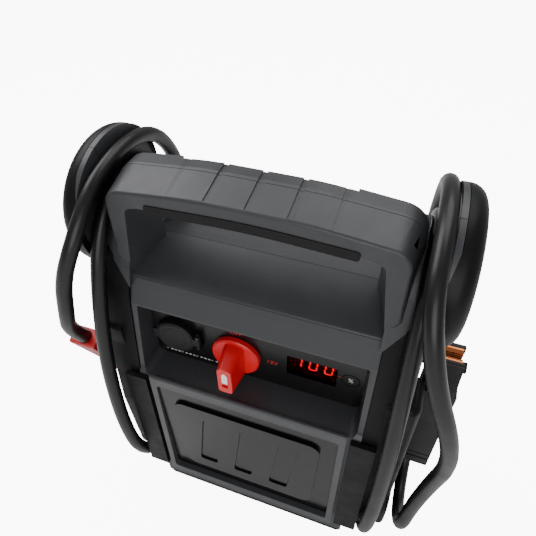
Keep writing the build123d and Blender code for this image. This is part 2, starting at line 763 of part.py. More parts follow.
def battery_strap():
    """Steel strap over the battery, folded down to its feet on the base tray."""
    top = battery_floor + battery_size[2] + gap
    front = battery_front - gap
    back = battery_front + battery_size[1] + gap
    points = [(front - 1.6, strap_foot), (front - 1.6, top + 1.6), (back + 1.6, top + 1.6),
              (back + 1.6, strap_foot),
              (back, strap_foot), (back, top), (front, top), (front, strap_foot)]
    strap = side_prism(points, [0.3, 2.5, 2.5, 0.3, 0.3, 1, 1, 0.3], (-12, 12))
    foot = block((-12, 12), (back, back + 16), (strap_foot, strap_foot + 1.6))
    foot = foot - rod_z(2.6, 0, back + 10, (strap_foot - 1, strap_foot + 3))
    toe = block((-12, 12), (front - 6.4, front), (strap_foot, strap_foot + 1.6))
    return strap + foot + toe


def base_tray():
    """The black base that closes the housing: floor, upstand and battery rails."""
    inside = housing_half - wall - gap
    floor = block((-housing_half, housing_half), (front_low, body_back),
                  (floor_z - base_thick, floor_z - gap))
    lip = block((-inside, inside), (front_low + wall + gap, body_back - wall - gap),
                (floor_z - 1, floor_z + 6))
    lip = lip - block((-inside + 2, inside - 2), (front_low + wall + gap + 2, body_back - wall - gap - 2),
                      (floor_z, floor_z + 7))
    rails = block((-80, -60), (battery_front + 2, battery_front + 75), (floor_z - 1, battery_floor - gap))
    rails = rails + flip(rails)
    tray = fillet((floor).edges().filter_by(Axis.Z), 5) + lip + rails
    for x in (-foot_x, foot_x):
        for y in (foot_front, foot_back):
            tray = tray - rod_z(foot_plug + 0.05, x, y, (floor_z - base_thick - 1, floor_z - 1.5))
    tray = tray - rod_z(2.6, 0, battery_front + battery_size[1] + gap + 10,
                        (floor_z - base_thick - 1, floor_z + 1))
    return tray


def rubber_feet():
    """Four turned rubber feet with plugs in the base."""
    feet = []
    top = floor_z - base_thick
    for x in (-foot_x, foot_x):
        for y in (foot_front, foot_back):
            foot = rod_z(11, x, y, (0, top - 0.05))
            foot = fillet(foot.edges().filter_by(GeomType.CIRCLE).group_by(Axis.Z)[0], 1.5)
            feet.append(foot + rod_z(foot_plug, x, y, (top - 0.1, floor_z - 1.7)))
    return feet[0] + feet[1] + feet[2] + feet[3]


def charger_board():
    """The mains charger on its own board: transformer, heat sink and capacitors."""
    face = charger_y + charger_thick
    board = block((-62, 62), (charger_y, face), (196, 262))
    board = board + block((-50, -14), (face - 0.2, face + 21), (204, 246))
    for low in (204, 232):
        board = board + block((20, 52), (face - 0.2, face + 16), (low, low + 8))
    board = board + block((20, 52), (face - 0.2, face + 3), (206, 238))
    for x in (-2, 12):
        board = board + rod_y(5.5, x, (face - 0.2, face + 18), 252)
    return board


def buzzer():
    """The round sounder on the charger board."""
    case = rod_y(8, -40, (charger_y - 8.5, charger_y - 0.1), 252)
    return case - rod_y(1.2, -40, (charger_y - 9, charger_y - 6), 252)


def fuse_link():
    """The bolted fuse between the battery's positive post and the switch."""
    x = battery_size[0] / 2 - 14
    y = battery_front + 19
    link = block((x - 46, x + 7), (y - 6, y + 6),
                 (battery_floor + battery_size[2] + 4.3, battery_floor + battery_size[2] + 6.3))
    body = block((x - 32, x - 12), (y - 8, y + 8),
                 (battery_floor + battery_size[2] + 3.4, battery_floor + battery_size[2] + 9))
    return link + body


# ---------------------------------------------------------------- rear inlet


def inlet_opening():
    """The hole in the back wall for the charging inlet."""
    return block((-inlet_half - 0.3, inlet_half + 0.3), (body_back - wall - 1, body_back + 1),
                 (inlet_z - inlet_high - 0.3, inlet_z + inlet_high + 0.3))


def charging_inlet():
    """The recessed mains inlet with two flat blades and an earth pin."""
    cup = block((-inlet_half, inlet_half), (body_back - 24, body_back - 0.2),
                (inlet_z - inlet_high, inlet_z + inlet_high))
    room = front_prism([(-16, inlet_z - 10), (-16, inlet_z + 10), (16, inlet_z + 10), (16, inlet_z - 10)],
                       [5] * 4, (body_back - 21, body_back + 2))
    collar = block((-inlet_half - 3, inlet_half + 3), (body_back - wall - 2.5, body_back - wall - 0.3),
                   (inlet_z - inlet_high - 3, inlet_z + inlet_high + 3))
    cup = cup + collar - room
    for x in (-6.3, 6.3):
        cup = cup + block((x - 0.8, x + 0.8), (body_back - 23, body_back - 6), (inlet_z - 1, inlet_z + 5.4))
    return cup + rod_y(2.4, 0, (body_back - 23, body_back - 5), inlet_z - 5.5)


def inlet_flap():
    """The flap over the inlet, hung from a pin above it."""
    flap = block((-24, 24), (body_back + 0.4, body_back + 0.4 + flap_thick), (inlet_z - 20, flap_pin_z))
    flap = fillet(flap.edges().filter_by(Axis.Y).group_by(Axis.Z)[0], 5)
    eye = rod_x(2.4, (-17.6, 17.6), flap_pin_y, flap_pin_z)
    return (flap + eye) - rod_x(pin_small / 2 + 0.03, (-30, 30), flap_pin_y, flap_pin_z) - flap_ears(0.4)


def flap_ears(grow=0.0):
    """Two ears on the back wall that hold the flap's pin."""
    ears = None
    for low, high in ((-24.5, -18), (18, 24.5)):
        ear = rod_x(2.6 + grow, (low - grow, high + grow), flap_pin_y, flap_pin_z)
        ear = ear + block((low - grow, high + grow), (body_back - 1 - grow, flap_pin_y),
                          (flap_pin_z - 2.6 - grow, flap_pin_z + 2.6 + grow))
        ears = ear if ears is None else ears + ear
    return ears


def flap_pin():
    """The flap's pin."""
    return rod_x(pin_small / 2, (-24, 24), flap_pin_y, flap_pin_z)


def screw_bosses():
    """Long posts inside the rear shell for the case screws."""
    bosses = None
    for x, z in screw_spots:
        boss = rod_y(4.5, x, (boss_front, body_back - 1), z) + block((min(x, x * 1.14), max(x, x * 1.14)),
                                                                     (boss_front, body_back - 1), (z - 1,
                                                                                                   z + 1))
        bosses = boss if bosses is None else bosses + boss
    return bosses


def screw_holes():
    """Counterbored holes for the case screws."""
    holes = None
    for x, z in screw_spots:
        hole = rod_y(screw_radius + 0.05, x, (boss_front - 1, body_back + 1), z) + rod_y(4.2, x,
                                                                                         (body_back - 3,
                                                                                          body_back + 1), z)
        holes = hole if holes is None else holes + hole
    return holes


def case_screws():
    """Pan-head screws from the back, with cross recesses."""
    screws = []
    for x, z in screw_spots:
        screw = rod_y(screw_radius, x, (boss_front + 4, body_back - 2.9), z) + rod_y(3.8, x,
                                                                                     (body_back - 2.95,
                                                                                      body_back - 0.6), z)
        cross = block((x - 2.2, x + 2.2), (body_back - 1.8, body_back), (z - 0.5, z + 0.5))
        cross = cross + block((x - 0.5, x + 0.5), (body_back - 1.8, body_back), (z - 2.2, z + 2.2))
        screws.append(screw - cross)
    return Compound(children=[solid for screw in screws for solid in screw.solids()])


def charger_posts():
    """Posts inside the rear wall that carry the charger board."""
    posts = []
    for x in (-56, 56):
        for z in (201, 257):
            posts.append(rod_y(board_post, x, (charger_y + charger_thick + gap, body_back - 2), z))
    return posts


def rear_fixings(shell):
    """Screw bosses, board posts, the inlet's opening and the flap's ears in the rear shell."""
    shell = shell + screw_bosses()
    for post in charger_posts():
        shell = shell + post
    shell = shell - screw_holes() - inlet_opening() + flap_ears()
    return shell - rod_x(pin_small / 2 + small_fit, (-flap_half - 0.2, flap_half + 0.2), flap_pin_y,
                         flap_pin_z)


# ---------------------------------------------------------------- clamps
# A clamp is drawn with its hinge pin along X at the origin, handles up and jaws down.


def half_outline(thick):
    """Side outline of one clamp half on the +Y side: jaw below, handle above."""
    inner = mouth_half + jaw_plate
    return [(inner, -clamp_jaw), (inner + 4, -clamp_jaw), (inner + 11.5, -clamp_jaw + 26), (inner + 13, 0),
            (inner + 13.5, 16), (13 + thick, clamp_handle), (13, clamp_handle), (inner, 16)]


def clamp_half(thick):
    """One moulded half, ribbed along its grip, before its lugs are cut."""
    radii = [0.8, 2.5, 20, 20, 30, 3, 3, 20]
    half = side_prism(half_outline(thick), radii, (-clamp_width / 2, clamp_width / 2))
    nose = clamp_width / 2 - 2.5
    for side in (-1, 1):
        trim = block((min(side * nose, side * 30), max(side * nose, side * 30)), (-40, 40),
                     (-clamp_jaw - 1, -clamp_jaw + 34))
        half = half - trim
    for step in range(8):
        z = clamp_handle - 14 - step * 7
        y = 13 + thick - (clamp_handle - z) * 0.155
        half = half - rod_x(1.1, (-clamp_width, clamp_width), y + 0.3, z)
    return half


def lead_half():
    """The half that the lead enters, on the -Y side, with the outer lugs."""
    half = mirror(clamp_half(17), about=Plane.XZ)
    half = half - rod_x(lug_radius + 0.4, (-8.1, 8.1), 0, 0)
    for side in (-1, 1):
        x = (side * 8.4, side * clamp_width / 2)
        lug = rod_x(lug_radius, (min(x), max(x)), 0, 0) + block((min(x), max(x)), (-14, -2), (-7, 7))
        half = half + lug
    half = half - rod_x(pin_diameter / 2 + pin_fit, (-20, 20), 0, 0)
    return half - lead_bore()


def lead_bore():
    """The socket for the lead in the handle's end."""
    axis = Pos(0, lead_handle_y, clamp_handle) * Rot(handle_angle, 0, 0)
    return axis * (Pos(0, 0, -lead_grip) * Cylinder(lead_diameter / 2 + 0.15, lead_grip + 12, align=ON_FLOOR))


def moving_half():
    """The half that opens, on the +Y side, with the inner lugs and a slot for the spring."""
    half = clamp_half(14)
    half = half - rod_x(lug_radius + 0.4, (8, clamp_width), 0, 0) - rod_x(lug_radius + 0.4,
                                                                          (-clamp_width, -8), 0, 0)
    for side in (-1, 1):
        x = (side * 4.3, side * 7.7)
        half = half + rod_x(lug_radius - 0.6, (min(x), max(x)), 0, 0) + block((min(x), max(x)), (0, 14),
                                                                              (-6, 6))
    half = half - block((-3.9, 3.9), (-12, 11), (-9.5, 24))
    return half - rod_x(pin_diameter / 2 + pin_fit, (-20, 20), 0, 0)


def clamp_pin():
    """The hinge pin with a riveted head at each end."""
    pin = rod_x(pin_diameter / 2, (-clamp_width / 2 - 1.5, clamp_width / 2 + 1.5), 0, 0)
    for side in (-1, 1):
        x = (side * (clamp_width / 2 + 0.1), side * (clamp_width / 2 + 1.5))
        pin = pin + rod_x(pin_diameter / 2 + 1.4, (min(x), max(x)), 0, 0)
    return pin


def clamp_spring():
    """The torsion spring round the pin, with a leg against each handle."""
    coil = rod_x(6.2, (-3.6, 3.6), 0, 0) - rod_x(3.7, (-5, 5), 0, 0)
    for step in (-1, 0, 1):
        ring = rod_x(7, (step * 2.4 - 0.15, step * 2.4 + 0.15), 0, 0) - rod_x(5.6,
                                                                              (step * 2.4 - 1,
                                                                               step * 2.4 + 1), 0, 0)
        coil = coil - ring
    lead_leg = block((1.4, 3.6), (-6.2, -4.0), (0, 15))
    moving_leg = block((-3.6, -1.4), (4.0, 6.2), (0, 15))
    return coil + lead_leg + moving_leg


def jaw_liner():
    """The copper plate in a jaw, toothed at its nose, on the +Y side."""
    plate = block((-8.5, 8.5), (mouth_half, mouth_half + jaw_plate), (-clamp_jaw + 0.5, -22))
    for step in range(3):
        z = -clamp_jaw + 2.2 + step * 2.8
        tooth = side_prism([(mouth_half + 0.5, z - 1.2), (mouth_half - 2.6, z),
                            (mouth_half + 0.5, z + 1.2)], [0.1] * 3, (-8.5, 8.5))
        plate = plate + tooth
    return plate


def clamp_pose(side, post_z, turn):
    """Where a clamp bites its parking post: side is -1 or 1, turn is its lean about X."""
    lean = math.radians(turn)
    x = side * clamp_x
    return Pos(x, -math.sin(lean) * clamp_post_at, post_z + math.cos(lean) * clamp_post_at) * Rot(turn, 0, 0)


def write_clamp(colour, side, post_z, turn, clear):
    """All the pieces of one clamp at its post."""
    at = clamp_pose(side, post_z, turn)
    write(f"{colour}_clamp_lead_half", at * lead_half())
    write(f"{colour}_clamp_moving_half", at * moving_half())
    write(f"{colour}_clamp_pin", at * clamp_pin())
    write(f"{colour}_clamp_spring", at * clamp_spring())
    write(f"{colour}_clamp_lead_jaw", at * mirror(jaw_liner(), about=Plane.XZ))
    write(f"{colour}_clamp_moving_jaw", at * jaw_liner())
    start = at * Pos(0, lead_handle_y, clamp_handle) * Rot(handle_angle, 0, 0)
    inside = (start * Pos(0, 0, -lead_grip)).position
    outside = (start * Pos(0, 0, clear)).position
    return [tuple(outside), tuple(inside)]


# ---------------------------------------------------------------- leads
def bend_radii(points):
    """The largest even bend at each inner point of a route."""
    radii = []
    for before, at, after in zip(points, points[1:], points[2:]):
        run_in = Vector(*at) - Vector(*before)
        run_out = Vector(*after) - Vector(*at)
        half_turn = math.radians(run_in.get_angle(run_out)) / 2
        radii.append(0.45 * min(run_in.length, run_out.length) / math.tan(half_turn))
    return radii


def lead(name, points):
    """A lead's tube: straight runs joined by tangent arcs."""
    radii = bend_radii(points)
    path = FilletPolyline(*points, radius=radii)
    section = Plane(origin=path @ 0, z_dir=path % 0) * Circle(lead_diameter / 2)
    tube = sweep(section, path=path)
    expected = math.pi * lead_diameter ** 2 / 4 * path.length
    print(name, "length", round(path.length), "smallest radius", round(min(radii)), "volume ratio",
          round(tube.volume / expected, 4))
    write(name, tube)


# ---------------------------------------------------------------- the nodes
whole = housing()
front_half = whole & seam_solid(gap / 2)
rear_half = whole - seam_solid(-gap / 2)
write("front_shell", front_fixings(front_half))
write("grip_insert", grip_strip())
write("badge_frame", lower_frame())
write("badge_plate", badge_plate())
write("right_side_cover", side_cover(post_high_z))
write("left_side_cover", flip(side_cover(post_low_z)))
right_hook = hook_cover()
write("right_hook_cover", right_hook)
write("left_hook_cover", flip(right_hook))
write("right_gland", gland())
write("left_gland", flip(gland()))
write("panel_plate", panel_plate())
write("display_lens", display_lens())
write("display_module", display_module())
write("control_board", control_board())
write("selector_knob", selector_knob())
write("knob_marker", knob_marker())
write("selector_shaft", selector_shaft())
write("selector_switch", selector_switch())
write("socket_barrel", socket_barrel())
write("socket_contact", socket_contact())
write("socket_cap", socket_cap())
write("socket_pin", socket_pin())
write("rear_shell", rear_fixings(rear_half))
write("battery", battery())
write("battery_terminals", battery_terminals())
write("battery_strap", battery_strap())
write("base_tray", base_tray())
write("rubber_feet", rubber_feet())
write("charger_board", charger_board())
write("buzzer", buzzer())
write("fuse_link", fuse_link())
write("charging_inlet", charging_inlet())
write("inlet_flap", inlet_flap())
write("flap_pin", flap_pin())
write("case_screws", case_screws())
red_end = write_clamp("red", -1, post_low_z, left_lean, red_clear)
black_end = write_clamp("black", 1, post_high_z, right_lean, black_clear)

# Each lead leaves its gland upwards behind the body, goes once round the side and over the saddle
# again, and ends in its clamp. Both start alike; X is for the right side.
wrap = [(gland_x, gland_y, gland_z + gland_height), (gland_x, gland_y, 180), (116.8, 78, 236),
        (116.8, 75, 290),
        (116.8, 61, 335), (116.8, 29, 362), (116.8, -11, 363), (116.7, -41, 337), (116.9, -59, 291),
        (118.6, -70.5, 238), (119.7, -77, 182),
        (120, -79, 124), (118, -76, 74), (116.1, -57, 34), (116.4, -20, 15.5), (116.6, 24, 14), (116.8, 66,
                                                                                                 23),
        (116.8, 95, 54), (116.8, 104, 104), (116.8, 101, 162), (116.8, 95, 220)]
black_route = wrap + [(116.8, 92, 278), (116.8, 84, 330), (116.8, 58, 372), (116.8, 16, 393),
                      (116.7, -28, 390), (116.5, -66, 370),
                      (129, -83, 326), (149, -85, 276), (158, -74, 224), (156, -64, 172), (152, -60,
                                                                                           116), (150, -60,
                                                                                                  64),
                      (149, -37, 32), (149, -2, 24), (149, 29, 41)] + black_end
red_route = [(-x, y, z) for x, y, z in wrap] + [(-116.8, 91, 276), (-116.8, 82, 330), (-116.8, 56, 371),
                                                (-116.8, 14, 384),
                                                (-116.7, -29, 378), (-116.8, -63, 352), (-129, -75, 318),
                                                (-137, -77, 280)] + red_end

lead("black_lead", black_route)
lead("red_lead", red_route)
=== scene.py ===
"""Portable 12 V battery charger and starter pack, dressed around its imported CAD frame."""

import json
import logging
import math
from dataclasses import dataclass, field
from enum import Enum

import bmesh
import bpy
from mathutils import Matrix, Vector


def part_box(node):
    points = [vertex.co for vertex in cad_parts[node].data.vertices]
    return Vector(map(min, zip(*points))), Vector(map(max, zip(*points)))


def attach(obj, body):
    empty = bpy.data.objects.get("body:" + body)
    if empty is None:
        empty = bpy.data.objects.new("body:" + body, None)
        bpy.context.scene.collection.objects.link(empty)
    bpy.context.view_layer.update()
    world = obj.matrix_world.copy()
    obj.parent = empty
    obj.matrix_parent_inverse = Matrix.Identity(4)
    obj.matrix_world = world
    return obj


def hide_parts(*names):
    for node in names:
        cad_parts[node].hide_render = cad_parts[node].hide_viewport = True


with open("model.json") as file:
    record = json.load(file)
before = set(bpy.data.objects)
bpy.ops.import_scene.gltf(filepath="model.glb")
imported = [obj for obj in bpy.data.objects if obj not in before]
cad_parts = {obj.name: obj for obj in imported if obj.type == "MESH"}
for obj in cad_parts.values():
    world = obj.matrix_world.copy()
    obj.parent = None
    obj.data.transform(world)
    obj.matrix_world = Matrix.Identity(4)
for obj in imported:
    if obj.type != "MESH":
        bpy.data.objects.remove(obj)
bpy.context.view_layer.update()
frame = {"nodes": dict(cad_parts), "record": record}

MM = 0.001
LOG = logging.getLogger("starter_pack")
WELD = 1e-6                  # points closer than this, in metres, become one
QUARTER = math.pi / 2
FULL = 2 * math.pi

# Scales of the broad patterns that every finish shares, in cells per metre.
SHADE_SCALE = 22.0
SMUDGE_SCALE = 46.0
# Painted highlight on sharp edges: the scale of its patches, where it starts and is complete, and its
# greatest strength.
HIGHLIGHT_PATCH_SCALE = 60.0
HIGHLIGHT_FROM, HIGHLIGHT_TO = 0.53, 0.6     # pointiness where the painted edge highlight starts and is complete
HIGHLIGHT_MOST = 0.35
COAT_ROUGH = 0.12
RELIEF_STRENGTH = 0.6

Node = bpy.types.ShaderNode
Tree = bpy.types.NodeTree


# ---------------------------------------------------------------- materials
def linear(hex_code: str) -> tuple[float, float, float, float]:
    """Turn an sRGB hex colour to linear light.

    Args:
        hex_code: Six hex digits, red first.

    Returns:
        Red, green, blue and an alpha of one.
    """
    values = [int(hex_code[i:i + 2], 16) / 255 for i in (0, 2, 4)]
    light = [v / 12.92 if v <= 0.04045 else ((v + 0.055) / 1.055) ** 2.4 for v in values]
    return (*light, 1.0)


def add_node(tree: Tree, kind: str, settings: dict | None = None, **inputs: object) -> Node:
    """Add one node, set its properties, and fill or link its sockets.

    Args:
        tree: The material's node tree.
        kind: The node's type name without the ShaderNode prefix.
        settings: Properties of the node.
        **inputs: Socket names, with spaces as underscores, and a value or an output socket.

    Returns:
        The new node.
    """
    node = tree.nodes.new(f"ShaderNode{kind}")
    for key, value in (settings or {}).items():
        setattr(node, key, value)
    for key, value in inputs.items():
        name = key.replace("_", " ")
        socket = node.inputs[int(name[1:])] if name[:1] == "i" and name[1:].isdigit() else node.inputs[name]
        if isinstance(value, bpy.types.NodeSocket):
            tree.links.new(value, socket)
        else:
            socket.default_value = value
    return node


class Process(Enum):
    """How a surface was made, which sets the pattern that it gets."""

    SPARK_ERODED = "fine grain left by an etched mould"
    POLISHED_MOULD = "glossy moulding with a faint orange peel"
    EXTRUDED = "drawn jacket, ribbed very faintly along its run"
    TURNED = "turned or drawn metal with fine circular marks"
    CAST = "rough casting"
    PRINTED = "silk-screened ink"


@dataclass(frozen=True)
class Finish:
    """A surface: what it is made of, how it was made, and what it looks like.

    Attributes:
        name: Common name of the material and its make.
        colour: Main colour, sRGB hex.
        second: Colour of its broad, faint variation.
        process: How the surface was made.
        rough: Mean roughness.
        spread: How far roughness wanders either way.
        grain_mm: Size of the pattern's grain.
        relief_mm: Height of the pattern.
        metallic: One for a bare metal.
        coat: Weight of a clear gloss over it.
        specular: Strength of its plain reflection.
        edge: Colour of the painted highlight on sharp edges, or none.
        glow: Light given off, for lit digits.
    """

    name: str
    colour: str
    second: str
    process: Process
    rough: float
    spread: float = 0.06
    grain_mm: float = 0.8
    relief_mm: float = 0.03
    metallic: float = 0.0
    coat: float = 0.0
    specular: float = 0.5
    edge: str | None = None
    glow: float = 0.0

    def build(self) -> bpy.types.Material:
        """Make the material, once."""
        found = bpy.data.materials.get(self.name)
        if found:
            return found
        material = bpy.data.materials.new(self.name)
        material.use_nodes = True
        material.diffuse_color = linear(self.colour)
        tree = material.node_tree
        tree.nodes.clear()
        place = add_node(tree, "TexCoord").outputs["Object"]
        shader = self._shader(tree, place)
        add_node(tree, "OutputMaterial", Surface=shader.outputs[0])
        return material

    def _shader(self, tree: Tree, place: bpy.types.NodeSocket) -> Node:
        """Join colour, roughness and relief into one shader.

        Args:
            tree: The material's node tree.
            place: Object coordinates.

        Returns:
            The Principled shader.
        """
        broad = add_node(tree, "TexNoise", Vector=place, Scale=SHADE_SCALE, Detail=3.0, Roughness=0.6)
        colour = add_node(tree, "Mix", {"data_type": "RGBA"}, i0=broad.outputs["Fac"],
                          i6=linear(self.colour), i7=linear(self.second)).outputs[2]
        # Painted highlight: sharp edges are lightened towards the edge colour.
        if self.edge:
            colour = self._paint_edge_highlight(tree, place, colour)
        smudge = add_node(tree, "TexNoise", Vector=place, Scale=SMUDGE_SCALE, Detail=4.0, Roughness=0.65)
        rough = add_node(tree, "MapRange", Value=smudge.outputs["Fac"], From_Min=0.3, From_Max=0.7,
                         To_Min=self.rough - self.spread, To_Max=self.rough + self.spread)
        shader = add_node(tree, "BsdfPrincipled", Base_Color=colour, Roughness=rough.outputs[0],
                          Normal=self._relief(tree, place))
        shader.inputs["Metallic"].default_value = self.metallic
        shader.inputs["Coat Weight"].default_value = self.coat
        shader.inputs["Coat Roughness"].default_value = COAT_ROUGH
        shader.inputs["Specular IOR Level"].default_value = self.specular
        if self.glow:
            shader.inputs["Emission Color"].default_value = linear(self.colour)
            shader.inputs["Emission Strength"].default_value = self.glow
        return shader

    def _paint_edge_highlight(self, tree: Tree, place: bpy.types.NodeSocket,
              colour: bpy.types.NodeSocket) -> bpy.types.NodeSocket:
        """Lighten sharp edges in patches, as a painted highlight where light catches them.

        Args:
            tree: The material's node tree.
            place: Object coordinates.
            colour: The colour so far.

        Returns:
            The colour with its painted edge highlight.
        """
        point = add_node(tree, "NewGeometry").outputs["Pointiness"]
        sharp = add_node(tree, "MapRange", Value=point, From_Min=HIGHLIGHT_FROM, From_Max=HIGHLIGHT_TO,
                         To_Max=HIGHLIGHT_MOST)
        patch = add_node(tree, "TexNoise", Vector=place, Scale=HIGHLIGHT_PATCH_SCALE, Detail=5.0)
        amount = add_node(tree, "Math", {"operation": "MULTIPLY"}, i0=sharp.outputs[0],
                          i1=patch.outputs["Fac"])
        return add_node(tree, "Mix", {"data_type": "RGBA"}, i0=amount.outputs[0], i6=colour,
                        i7=linear(self.edge)).outputs[2]

    def _relief(self, tree: Tree, place: bpy.types.NodeSocket) -> bpy.types.NodeSocket:
        """The bump that the process leaves.

        Args:
            tree: The material's node tree.
            place: Object coordinates.

        Returns:
            A normal.
        """
        scale = 1.0 / (self.grain_mm * MM)
        if self.process is Process.SPARK_ERODED:
            cells = add_node(tree, "TexVoronoi", {"feature": "SMOOTH_F1"}, Vector=place, Scale=scale)
            dust = add_node(tree, "TexNoise", Vector=place, Scale=scale * 0.7, Detail=2.0)
            height = add_node(tree, "Math", {"operation": "ADD"}, i0=cells.outputs["Distance"],
                              i1=dust.outputs["Fac"]).outputs[0]
        elif self.process is Process.TURNED:
            stretch = add_node(tree, "Mapping", Vector=place, Scale=(1.0, 0.06, 1.0))
            height = add_node(tree, "TexNoise", Vector=stretch.outputs[0], Scale=scale,
                              Detail=3.0).outputs["Fac"]
        elif self.process is Process.CAST:
            height = add_node(tree, "TexNoise", Vector=place, Scale=scale * 0.5, Detail=6.0).outputs["Fac"]
        else:
            height = add_node(tree, "TexNoise", Vector=place, Scale=scale * 0.5, Detail=2.0).outputs["Fac"]
        bump = add_node(tree, "Bump", Height=height, Strength=RELIEF_STRENGTH, Distance=self.relief_mm * MM)
        return bump.outputs[0]


# Acrylonitrile styrene case moulding: grey through and through, satin, with an etched grain that
# breaks up its highlights. The real grain is 0.3 mm and is drawn coarser so that it shows.
# Its sharp edges get a painted highlight in a lighter grey.
CASE_GREY = Finish("abs_case_grey_etched", "333437", "2E2F32", Process.SPARK_ERODED, 0.42, 0.05, 0.9, 0.035,
                   specular=0.45, edge="4A4B4E")
# The badge frame is the same plastic from a smoother tool, so its edges catch more light; its painted edge
# highlight is paler as well.
FRAME_GREY = Finish("abs_frame_grey_satin", "3C3D40", "37383B", Process.SPARK_ERODED, 0.38, 0.05, 0.8, 0.02,
                    specular=0.45, edge="525356")
# Black polypropylene covers: duller and slightly greyed, the way talc-filled mouldings look; a faint painted
# highlight lies on their sharp edges.
COVER_BLACK = Finish("polypropylene_cover_black", "0C0C0E", "09090A", Process.SPARK_ERODED, 0.48, 0.07, 1.1,
                     0.05,
                     specular=0.16, edge="161618")
# The hooks are the same black polypropylene, with the same faint painted highlight on sharp edges.
HOOK_BLACK = Finish("polypropylene_hook_black", "0C0C0E", "09090A", Process.SPARK_ERODED, 0.42, 0.06, 1.0,
                    0.04,
                    specular=0.18, edge="161618")
# Thermoplastic rubber strip: soft, matt, almost without highlights.
GRIP_RUBBER = Finish("thermoplastic_rubber_grip", "0E0E10", "0B0B0D", Process.SPARK_ERODED, 0.6, 0.05, 0.7,
                     0.04,
                     specular=0.25)
# Polycarbonate front plate printed black from behind: a dark face with a broad soft gloss.
PANEL_BLACK = Finish("polycarbonate_panel_black", "0A090B", "0C0B0D", Process.POLISHED_MOULD, 0.34, 0.04, 3.0,
                     0.01, coat=0.1, specular=0.3)
BADGE_GLOSS = Finish("polycarbonate_badge_black", "040405", "060607", Process.POLISHED_MOULD, 0.22, 0.04,
                     4.0, 0.01,
                     coat=0.1, specular=0.3)
# Nylon knob, dyed signal red: saturated, satin, with a pale painted highlight on its edges.
KNOB_RED = Finish("nylon_knob_signal_red", "DC0812", "CC0710", Process.POLISHED_MOULD, 0.36, 0.05, 1.6, 0.02,
                  coat=0.1, specular=0.35, edge="E04046")
MARK_WHITE = Finish("enamel_mark_white", "F4F2F0", "ECE9E6", Process.PRINTED, 0.45, 0.04, 1.0, 0.01)
PRINT_WHITE = Finish("screen_ink_white", "C9C8C6", "B9B8B6", Process.PRINTED, 0.6, 0.05, 0.5, 0.01)
PRINT_RED = Finish("screen_ink_red", "C0272B", "A82024", Process.PRINTED, 0.55, 0.05, 0.5, 0.01)
DIGIT_LIT = Finish("led_segment_lit", "FF2A35", "FF3540", Process.PRINTED, 0.5, 0.04, 1.0, 0.005, glow=2.2)
DIGIT_DARK = Finish("led_segment_dark", "5A1418", "4C1014", Process.PRINTED, 0.4, 0.04, 1.0, 0.005)
DISPLAY_CASE = Finish("epoxy_display_face", "4A2023", "3A181B", Process.POLISHED_MOULD, 0.35, 0.05, 1.4, 0.01)
# Bright zinc plating over turned steel.
ZINC_STEEL = Finish("zinc_plated_steel_turned", "B9BABD", "A7A8AB", Process.TURNED, 0.3, 0.08, 0.5, 0.01,
                    metallic=1.0)
SPRING_STEEL = Finish("spring_steel_oiled", "8B8C90", "77787C", Process.TURNED, 0.34, 0.08, 0.4, 0.01,
                      metallic=1.0)
COPPER = Finish("copper_plated_jaw_pressed", "C77B4E", "A9623B", Process.TURNED, 0.32, 0.1, 0.6, 0.015,
                metallic=1.0)
BRASS = Finish("brass_contact_turned", "C8A24C", "B08B3A", Process.TURNED, 0.3, 0.06, 0.4, 0.01, metallic=1.0)
LEAD_METAL = Finish("lead_alloy_cast_post", "8A8B90", "74757A", Process.CAST, 0.5, 0.1, 1.2, 0.08,
                    metallic=1.0)
# Rubber-jacketed cable: black, faintly waxy, so a long soft streak runs down its lit side.
CABLE_RUBBER = Finish("chloroprene_cable_jacket", "0B0B0C", "0D0D0F", Process.EXTRUDED, 0.36, 0.06, 1.6, 0.03,
                      coat=0.04, specular=0.35)
GLAND_RUBBER = Finish("moulded_gland_rubber", "0B0B0C", "09090A", Process.SPARK_ERODED, 0.52, 0.05, 0.8, 0.04)
CAP_RUBBER = Finish("moulded_cap_rubber", "151517", "111113", Process.SPARK_ERODED, 0.5, 0.05, 0.7, 0.03,
                    specular=0.3)
SOCKET_BLACK = Finish("phenolic_socket_black", "09090A", "0C0C0D", Process.POLISHED_MOULD, 0.32, 0.05, 1.5,
                      0.01)
INNER_BLACK = Finish("glass_filled_nylon_black", "1E1E20", "262628", Process.SPARK_ERODED, 0.55, 0.06, 1.0,
                     0.05)
BATTERY_CASE = Finish("battery_case_abs_charcoal", "2C2D31", "25262A", Process.SPARK_ERODED, 0.5, 0.06, 1.0,
                      0.05)
FOOT_RUBBER = Finish("moulded_foot_rubber", "222224", "1B1B1D", Process.SPARK_ERODED, 0.65, 0.06, 1.2, 0.06)
BOARD_GREEN = Finish("fibreglass_board_green", "1F5A34", "1A4C2C", Process.POLISHED_MOULD, 0.35, 0.06, 1.5,
                     0.02)
FUSE_AMBER = Finish("fuse_body_amber", "C98324", "B5721A", Process.POLISHED_MOULD, 0.35, 0.05, 1.5, 0.01)
# Clamp handles: their sharp edges get a painted highlight, paler than the moulding.
CLAMP_RED = Finish("nylon_clamp_red", "B80A0E", "A6070B", Process.SPARK_ERODED, 0.42, 0.06, 0.9, 0.04,
                   edge="DD5256")
CLAMP_BLACK = Finish("nylon_clamp_black", "0D0D0E", "0A0A0B", Process.SPARK_ERODED, 0.45, 0.06, 0.9, 0.04,
                     specular=0.3, edge="222224")


